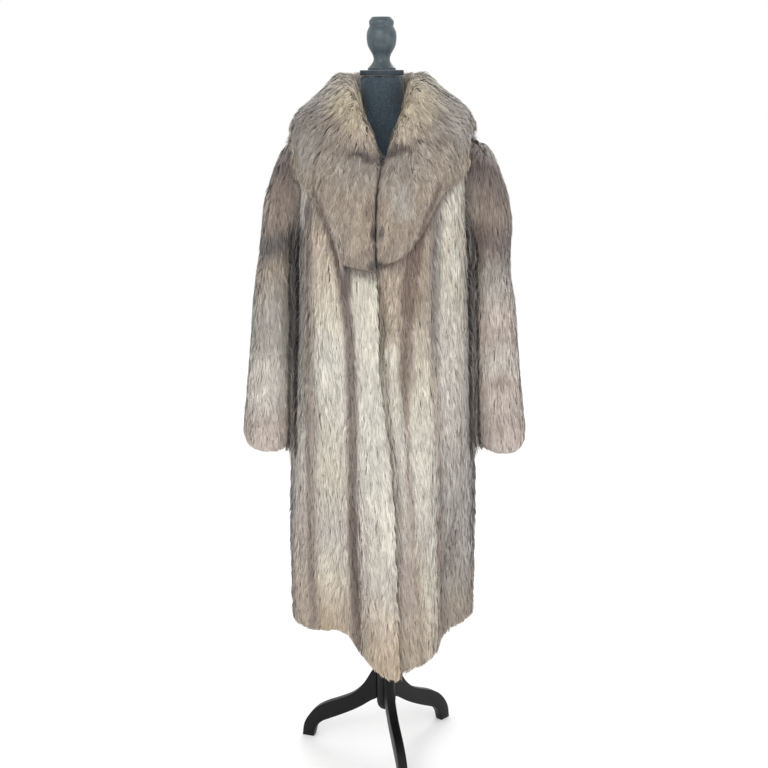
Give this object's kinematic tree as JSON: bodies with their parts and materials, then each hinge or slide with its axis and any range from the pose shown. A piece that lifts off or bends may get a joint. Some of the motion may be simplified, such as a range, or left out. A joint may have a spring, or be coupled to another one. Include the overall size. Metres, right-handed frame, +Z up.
{
  "type": "fur coat on dress form",
  "caption": "Full-length fur coat with a shawl-like collar and lapels, hung closed on a limbless dress form over a turned wooden tripod stand.",
  "frame": {"origin": "on the floor, on the axis of the stand's pole", "axes": "+Z up, -Y out of the coat's front, +X towards its wearer's left"},
  "size_m": [0.599, 0.4272, 1.6066],
  "materials": {
    "fur": "long soft fur, combed down",
    "fur_collar": "long soft fur, fanned out",
    "form_cloth": "matte jersey",
    "stand_wood": "painted, satin"
  },
  "bodies": {
    "root": {"front_right": "fur", "front_left": "fur", "back": "fur", "sleeve_right": "fur", "sleeve_left": "fur", "collar": "fur_collar", "lapel_right": "fur_collar", "lapel_left": "fur_collar", "bust": "form_cloth", "neck_cap": "stand_wood", "finial": "stand_wood", "pole": "stand_wood", "hub": "stand_wood", "leg_front": "stand_wood", "leg_left": "stand_wood", "leg_right": "stand_wood"}
  },
  "joints": []
}
